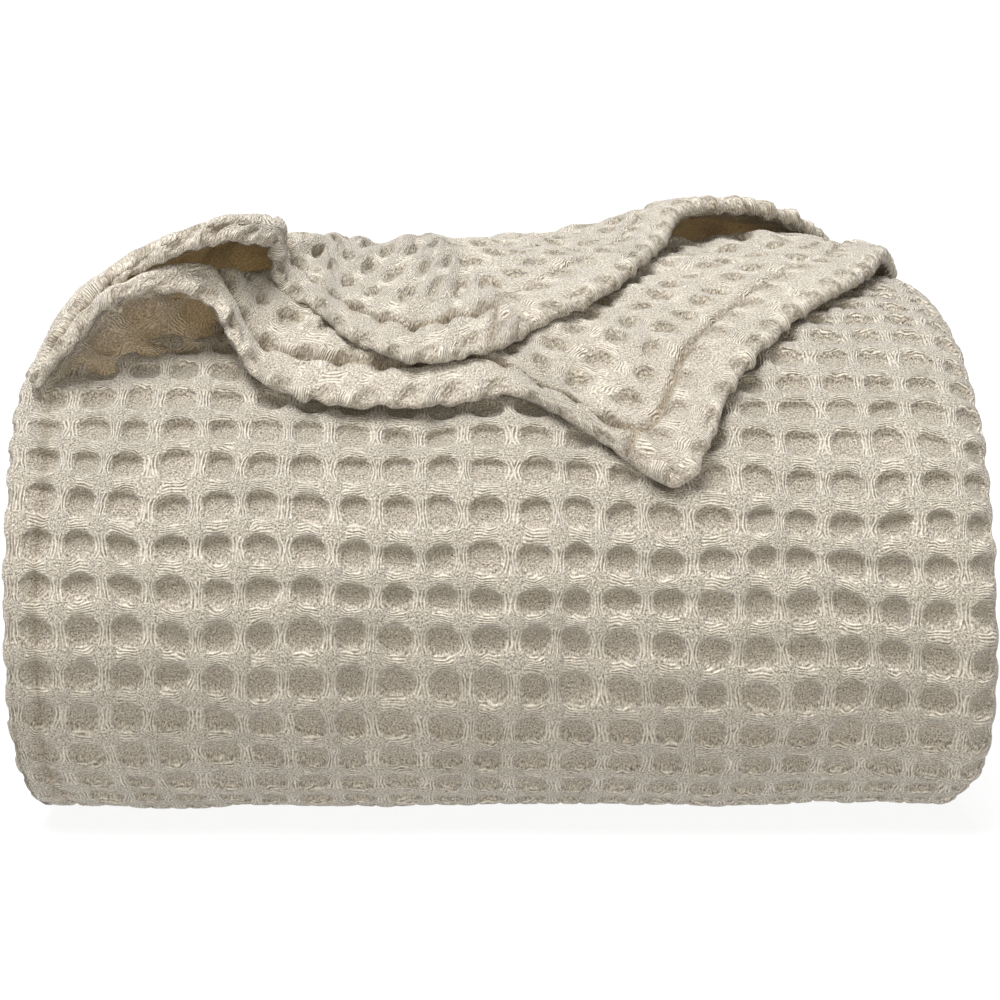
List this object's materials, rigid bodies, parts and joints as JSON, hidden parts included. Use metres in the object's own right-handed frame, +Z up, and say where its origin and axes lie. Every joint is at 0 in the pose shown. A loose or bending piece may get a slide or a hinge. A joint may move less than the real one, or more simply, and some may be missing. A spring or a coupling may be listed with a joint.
{
  "type": "folded waffle weave cotton blanket",
  "caption": "Thick waffle weave cotton blanket folded to a shelf pile, round at the front, with one corner of its outer layers turned back over the top.",
  "frame": {"origin": "centre of the bounding box, on the underside that the folded blanket rests on", "axes": "+X along the width, with the turned-back corner at the -X end; +Y from the round front folds to the back folds; +Z up"},
  "size_m": [0.396, 0.375, 0.2501],
  "materials": {
    "waffle_cotton": "matt natural cotton, waffle weave with raised ridges and floats"
  },
  "bodies": {
    "root": {"blanket": "waffle_cotton"}
  },
  "joints": []
}
